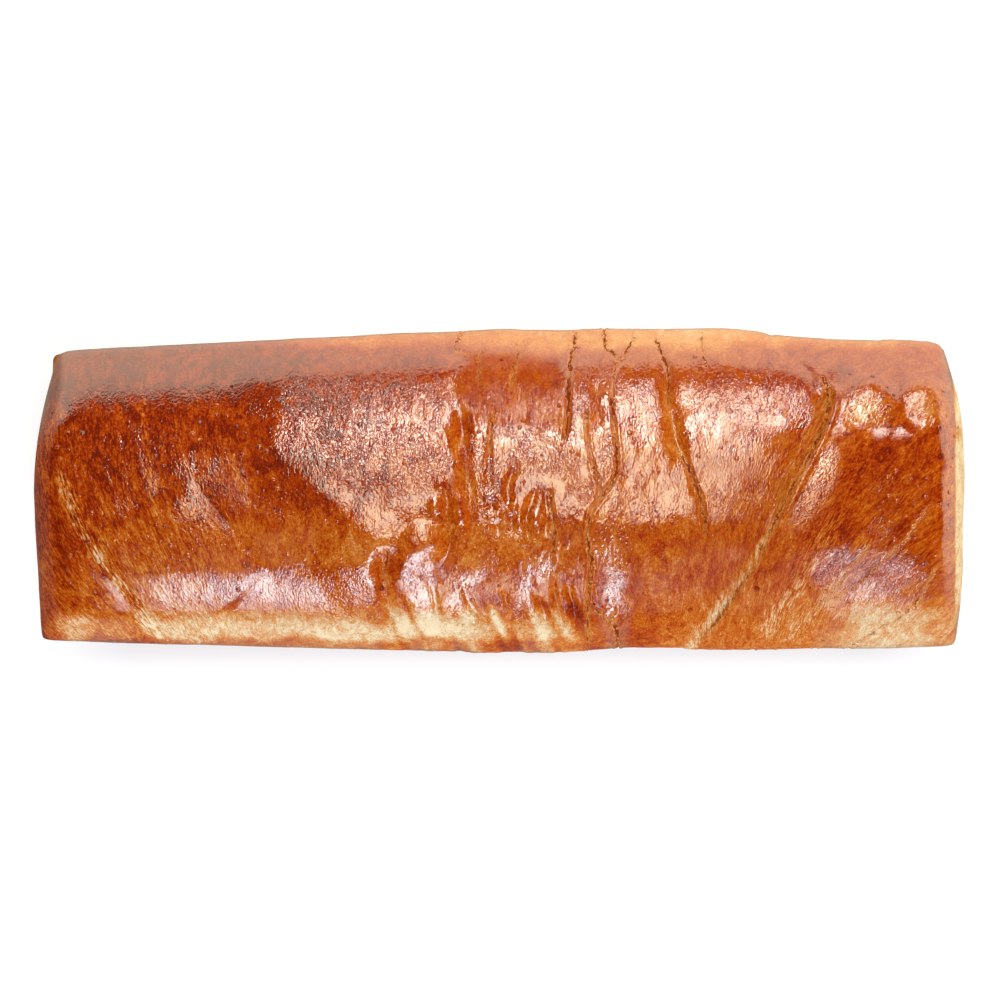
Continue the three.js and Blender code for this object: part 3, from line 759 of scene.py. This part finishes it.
crust_mesh = bpy.data.meshes.new("loaf_crust")
crust_mesh.from_pydata((skin_points / 1000).tolist(), [], faces)
for name, column in zip(SKIN_VALUES[:-3], skin_values.T):
    layer = crust_mesh.attributes.new(name, "FLOAT", "POINT")
    layer.data.foreach_set("value", np.clip(column, 0, 1.3))
for name, vectors in (("flow", flow), ("split", skin_values[:, -3:])):
    layer = crust_mesh.attributes.new(name, "FLOAT_VECTOR", "POINT")
    layer.data.foreach_set("vector", vectors.ravel())
crust_mesh.shade_smooth()
loaf_crust = add_object("loaf_crust", crust_mesh)

# The finish: colours from pale crumb to dark crust, streaked along the strands, mottled and
# specked, under a coat of baked egg.
CRUST_COLOURS = [
    (0.00, (0.78, 0.62, 0.42)),
    (0.20, (0.63, 0.41, 0.23)),
    (0.42, (0.58, 0.195, 0.030)),
    (0.62, (0.46, 0.088, 0.003)),
    (0.82, (0.33, 0.029, 0.001)),
    (1.00, (0.15, 0.010, 0.001)),
]
CRUMB_COLOUR = (0.80, 0.40, 0.12, 1)
# The colour of the scorched rim corners, and of the painted shade round each blister's foot.
SCORCH_AND_SHADE_COLOUR = (0.13, 0.030, 0.006, 1)
SPECK_COLOUR = (0.07, 0.012, 0.003, 1)
LIP_COLOUR = (0.76, 0.31, 0.075, 1)
CUT_COLOUR = (0.24, 0.028, 0.003, 1)

glazed_crust = bpy.data.materials.new("glazed_crust")
glazed_crust.use_nodes = True
finish_tree = glazed_crust.node_tree
finish_tree.nodes.clear()


def carried(name):
    """One of the values that the mesh carries."""
    node = add_node(finish_tree, "ShaderNodeAttribute", attribute_name=name)
    return node.outputs["Vector" if name in ("flow", "split") else "Fac"]


def parts_of(vector):
    return add_node(finish_tree, "ShaderNodeSeparateXYZ", {0: vector}).outputs


def noise(scales, detail, seed_shift=0, distortion=0):
    """Noise from 0 to 1 on the strands, with sizes in millimetres across, along and down."""
    place = add_node(finish_tree, "ShaderNodeVectorMath", {
        0: carried("flow"), 1: [1 / size for size in scales], 2: (seed_shift, seed_shift, 0)},
        operation="MULTIPLY_ADD")
    return add_node(finish_tree, "ShaderNodeTexNoise", {
        "Vector": place.outputs[0], "Scale": 1, "Detail": detail, "Roughness": 0.6,
        "Distortion": distortion}).outputs["Fac"]


def scaled(value, low, high, to_low, to_high):
    return map_range(finish_tree, value, low, high, to_low, to_high)


def swung(texture, to_low, to_high):
    """Noise taken to other values, from the span that most of it fills."""
    return scaled(texture, 0.3, 0.7, to_low, to_high)


def plus(a, b):
    return maths(finish_tree, "ADD", a, b)


def minus(a, b):
    return maths(finish_tree, "SUBTRACT", a, b)


def times(a, b):
    return maths(finish_tree, "MULTIPLY", a, b)


def blended(share, a, b):
    node = add_node(finish_tree, "ShaderNodeMix", {0: share}, data_type="RGBA")
    for socket, value in ((node.inputs[6], a), (node.inputs[7], b)):
        if isinstance(value, bpy.types.NodeSocket):
            finish_tree.links.new(value, socket)
        else:
            socket.default_value = value
    return node.outputs[2]


streaks = noise((1.6, 9, 7), 3, 0, 0.5)
threads = noise((0.7, 3.5, 3), 2, 13, 0.5)
mottle = noise((0.7, 1.0, 0.7), 3, 5, 0.8)
blotches = noise((5, 8, 5), 3, 9, 1)
specks = noise((0.9, 1.1, 0.9), 1, 17)
ragged = noise((1.8, 2.6, 1.8), 4, 31)

# The torn strip's threads show crumb between them, and its border is ragged.
torn_here = scaled(plus(carried("torn"), swung(ragged, -0.3, 0.3)), 0.35, 0.6, 0, 1)
torn_shade = plus(swung(threads, 0.38, 0.78), swung(mottle, -0.12, 0.12))

# Elsewhere the shade, which carries the painted highlight on the domes, has paler and darker
# strands, a mottling that is weaker down the walls and at the back, and golden threads.
strands_seen = plus(scaled(streaks, 0.55, 0.75, 0, -0.15), scaled(streaks, 0.25, 0.45, 0.17, 0))
strands_seen = plus(strands_seen, scaled(threads, 0.56, 0.72, 0, 0.12))
flow_parts = parts_of(carried("flow"))
mottled = plus(swung(mottle, -0.21, 0.21), swung(blotches, -0.17, 0.17))
mottled = times(mottled, scaled(flow_parts["Z"], 66, 82, 0.45, 1))
mottled = times(mottled, scaled(flow_parts["Y"], 30, 40, 1, 0.55))
golden_here = times(carried("golden"), scaled(threads, 0.58, 0.36, 0, 0.62))
tone_with_highlight = plus(carried("bake_and_highlight"), times(strands_seen, carried("stranded")))
tone_with_highlight = minus(plus(tone_with_highlight, mottled), golden_here)
shade = add_node(finish_tree, "ShaderNodeMix", {0: torn_here, "A": tone_with_highlight, "B": torn_shade})
colours = add_node(finish_tree, "ShaderNodeValToRGB", {"Fac": shade.outputs[0]})
stops = colours.color_ramp.elements
stops[0].color, stops[1].color = (*CRUST_COLOURS[0][1], 1), (*CRUST_COLOURS[-1][1], 1)
for place, colour in CRUST_COLOURS[1:-1]:
    stops.new(place).color = (*colour, 1)
colour = blended(scaled(specks, 0.7, 0.78, 0, 0.6), colours.outputs["Color"], SPECK_COLOUR)
colour = blended(carried("tear"), colour, CRUMB_COLOUR)
# Scorched places, and the painted shade round each blister's foot, darken the colour.
colour = blended(carried("scorch_and_shade"), colour, SCORCH_AND_SHADE_COLOUR)

# The splits: a dark ragged cut where the distance to one is less than it gapes, with pale lips.
# The cuts have no glaze, and the lips and the torn strip have little.
LIP_DULLNESS, TORN_DULLNESS = 0.5, 0.9
split_parts = parts_of(carried("split"))
off_split = plus(split_parts["X"], swung(ragged, -0.9, 0.9))
gape = times(split_parts["Y"], scaled(blotches, 0.35, 0.6, 0.1, 1.5))
gap = minus(maths(finish_tree, "ABSOLUTE", off_split), gape)
cut = times(scaled(gap, 0.12, -0.12, 0, 1), scaled(gape, 0.03, 0.15, 0, 1))
lip = times(scaled(gap, 0, 0.2, 0, 1), scaled(gap, 0.3, 0.7, 1, 0))
lip = times(times(lip, split_parts["Z"]), scaled(mottle, 0.38, 0.55, 0, 1))
colour = blended(lip, colour, LIP_COLOUR)
colour = blended(cut, colour, CUT_COLOUR)
dull = maths(finish_tree, "MAXIMUM", cut, times(lip, LIP_DULLNESS))
dull = maths(finish_tree, "MAXIMUM", dull, times(torn_here, TORN_DULLNESS))
coat = times(carried("glaze"), minus(1, dull))

# The relief that is too fine for the mesh, in millimetres.
CRINKLE_HEIGHT, WRINKLE_HEIGHT, PIMPLE_HEIGHT = 0.12, 0.11, 0.012
THREAD_HEIGHT, CUT_DEPTH, LIP_HEIGHT = 0.25, 0.15, 0.1
crinkles = noise((0.8, 1.1, 0.8), 0, 3, 0.8)
wrinkles = noise((2.0, 3.0, 2.0), 1, 23, 0.8)
pimples = noise((0.8, 0.9, 0.8), 1, 7)
fine_relief = plus(swung(crinkles, 0, CRINKLE_HEIGHT), swung(wrinkles, 0, WRINKLE_HEIGHT))
fine_relief = times(fine_relief, times(carried("crinkled"), scaled(blotches, 0.35, 0.6, 0.5, 1.3)))
fine_relief = plus(fine_relief, swung(pimples, 0, PIMPLE_HEIGHT))
fine_relief = plus(fine_relief, times(swung(threads, THREAD_HEIGHT, 0), torn_here))
fine_relief = minus(fine_relief, times(cut, CUT_DEPTH))
fine_relief = plus(fine_relief, times(lip, LIP_HEIGHT))
bumps = add_node(finish_tree, "ShaderNodeBump", {
    "Height": fine_relief, "Strength": 1, "Distance": 0.001})

finish = add_node(finish_tree, "ShaderNodeBsdfPrincipled", {
    "Base Color": colour,
    "Roughness": 0.6,
    "IOR": 1.45,
    "Specular IOR Level": 0.02,
    "Coat Weight": coat,
    "Coat Roughness": 0.045,
    "Coat IOR": 1.5,
    "Normal": bumps.outputs["Normal"],
    "Coat Normal": bumps.outputs["Normal"],
})
add_node(finish_tree, "ShaderNodeOutputMaterial", {"Surface": finish.outputs["BSDF"]})
crust_mesh.materials.append(glazed_crust)

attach(loaf_crust, "root")
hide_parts("loaf")

# ------------------------------------------------------------------------------------------------
# Blisters: the small gas bubbles that rose under the glaze all over the crown. Each is a smooth
# flat dome, a little darker than the crust round it, with painted shade round its foot.
MOSTLY_SMALL = 2.5
SHORTEST, LENGTH_SPREAD = 0.85, 0.4
SHADE_RING_FOOT, SHADE_RING_TOP = 0.1, 0.75
FULL_TURN = 6.28


def scatter_tree(name, seed, shape_kind, shape_inputs, darker, ring):
    """Grows small shapes out of a surface, thickest where one of its values is high. Most are near
    the smallest size, and each is a little longer or shorter than wide and turned its own way."""
    tree = bpy.data.node_groups.new(name, "GeometryNodeTree")
    sockets = {}
    for label, kind in (("Surface", "Geometry"), ("Spacing", "Float"), ("Density", "Float"),
                        ("Smallest", "Float"), ("Largest", "Float"), ("Flatness", "Float"),
                        ("Finish", "Material")):
        sockets[label] = tree.interface.new_socket(
            label, in_out="INPUT", socket_type="NodeSocket" + kind)
    tree.interface.new_socket("Grown", in_out="OUTPUT", socket_type="NodeSocketGeometry")
    given = tree.nodes.new("NodeGroupInput").outputs

    def read(value_name):
        return add_node(tree, "GeometryNodeInputNamedAttribute", {"Name": value_name},
                        data_type="FLOAT").outputs["Attribute"]

    def store(geometry, value_name, value):
        return add_node(tree, "GeometryNodeStoreNamedAttribute", {
            "Geometry": geometry, "Name": value_name, "Value": value},
            data_type="FLOAT", domain="POINT").outputs[0]

    def at_random(highest, own_seed):
        return add_node(tree, "FunctionNodeRandomValue", {
            "Min": (0, 0, 0), "Max": highest, "Seed": own_seed}, data_type="FLOAT_VECTOR").outputs[0]

    spots = add_node(tree, "GeometryNodeDistributePointsOnFaces", {
        "Mesh": given["Surface"], "Distance Min": given["Spacing"], "Density Max": given["Density"],
        "Density Factor": read(name), "Seed": seed}, distribute_method="POISSON").outputs
    shaded_spots = store(spots["Points"], "bake_and_highlight", maths(tree, "ADD", read("bake_and_highlight"), darker))

    lift = add_node(tree, "ShaderNodeSeparateXYZ", {
        0: add_node(tree, "GeometryNodeInputPosition").outputs[0]}).outputs["Z"]
    shape = store(add_node(tree, shape_kind, shape_inputs).outputs["Mesh"], "lift", lift)
    chance = add_node(tree, "ShaderNodeSeparateXYZ", {0: at_random((1, 1, 1), seed + 1)}).outputs
    spread = maths(tree, "SUBTRACT", given["Largest"], given["Smallest"])
    growth = maths(tree, "MULTIPLY", spread, maths(tree, "POWER", chance["X"], MOSTLY_SMALL))
    width = maths(tree, "ADD", given["Smallest"], growth)
    stretch = maths(tree, "ADD", SHORTEST, maths(tree, "MULTIPLY", chance["Y"], LENGTH_SPREAD))
    scale = add_node(tree, "ShaderNodeCombineXYZ", {
        "X": width, "Y": maths(tree, "MULTIPLY", width, stretch),
        "Z": maths(tree, "MULTIPLY", width, given["Flatness"])}).outputs[0]
    grown = add_node(tree, "GeometryNodeInstanceOnPoints", {
        "Points": shaded_spots, "Instance": shape, "Rotation": spots["Rotation"], "Scale": scale})
    turned = add_node(tree, "GeometryNodeRotateInstances", {
        "Instances": grown.outputs[0], "Rotation": at_random((0, 0, FULL_TURN), seed + 2)})
    real = add_node(tree, "GeometryNodeRealizeInstances", {"Geometry": turned.outputs[0]})
    # The foot of each shape is darkened by ring: painted shade where it meets the surface.
    shade_ring_share = map_range(tree, read("lift"), SHADE_RING_FOOT, SHADE_RING_TOP, ring, 0)
    foot_shaded = store(real.outputs[0], "scorch_and_shade", shade_ring_share)
    smooth = add_node(tree, "GeometryNodeSetShadeSmooth", {"Geometry": foot_shaded})
    finished = add_node(tree, "GeometryNodeSetMaterial", {
        "Geometry": smooth.outputs[0], "Material": given["Finish"]})
    add_node(tree, "NodeGroupOutput", {"Grown": finished.outputs[0]})
    return tree, sockets


def grow_on_crust(name, tree, sockets, **sizes):
    """Runs a scatter tree over the crust and keeps what it grew as a plain mesh."""
    piece = add_object(name, crust_mesh.copy())
    modifier = piece.modifiers.new("scatter", "NODES")
    modifier.node_group = tree
    for label, size in sizes.items():
        modifier[sockets[label].identifier] = size
    modifier[sockets["Finish"].identifier] = glazed_crust
    view = bpy.context.evaluated_depsgraph_get()
    grown = bpy.data.meshes.new_from_object(
        piece.evaluated_get(view), preserve_all_data_layers=True, depsgraph=view)
    piece.modifiers.clear()
    piece.data = grown
    return piece


blister_tree, blister_sockets = scatter_tree(
    "blistered", 71, "GeometryNodeMeshUVSphere", {"Segments": 9, "Rings": 6, "Radius": 1.0},
    darker=0.02, ring=0.1)
blisters = grow_on_crust("crust_blisters", blister_tree, blister_sockets, Spacing=0.0028,
                         Density=70000.0, Smallest=0.0005, Largest=0.00105, Flatness=0.42)
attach(blisters, "root")

# ------------------------------------------------------------------------------------------------
# Crumbs: flakes of pale torn crumb that cling to the open edge beside the main lap and to the
# edges of the splits.
crumb_tree, crumb_sockets = scatter_tree(
    "crumbly", 81, "GeometryNodeMeshIcoSphere", {"Subdivisions": 1, "Radius": 1.0},
    darker=-0.15, ring=0)
crumbs = grow_on_crust("torn_crumbs", crumb_tree, crumb_sockets, Spacing=0.0008,
                       Density=900000.0, Smallest=0.00022, Largest=0.0006, Flatness=0.8)
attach(crumbs, "root")
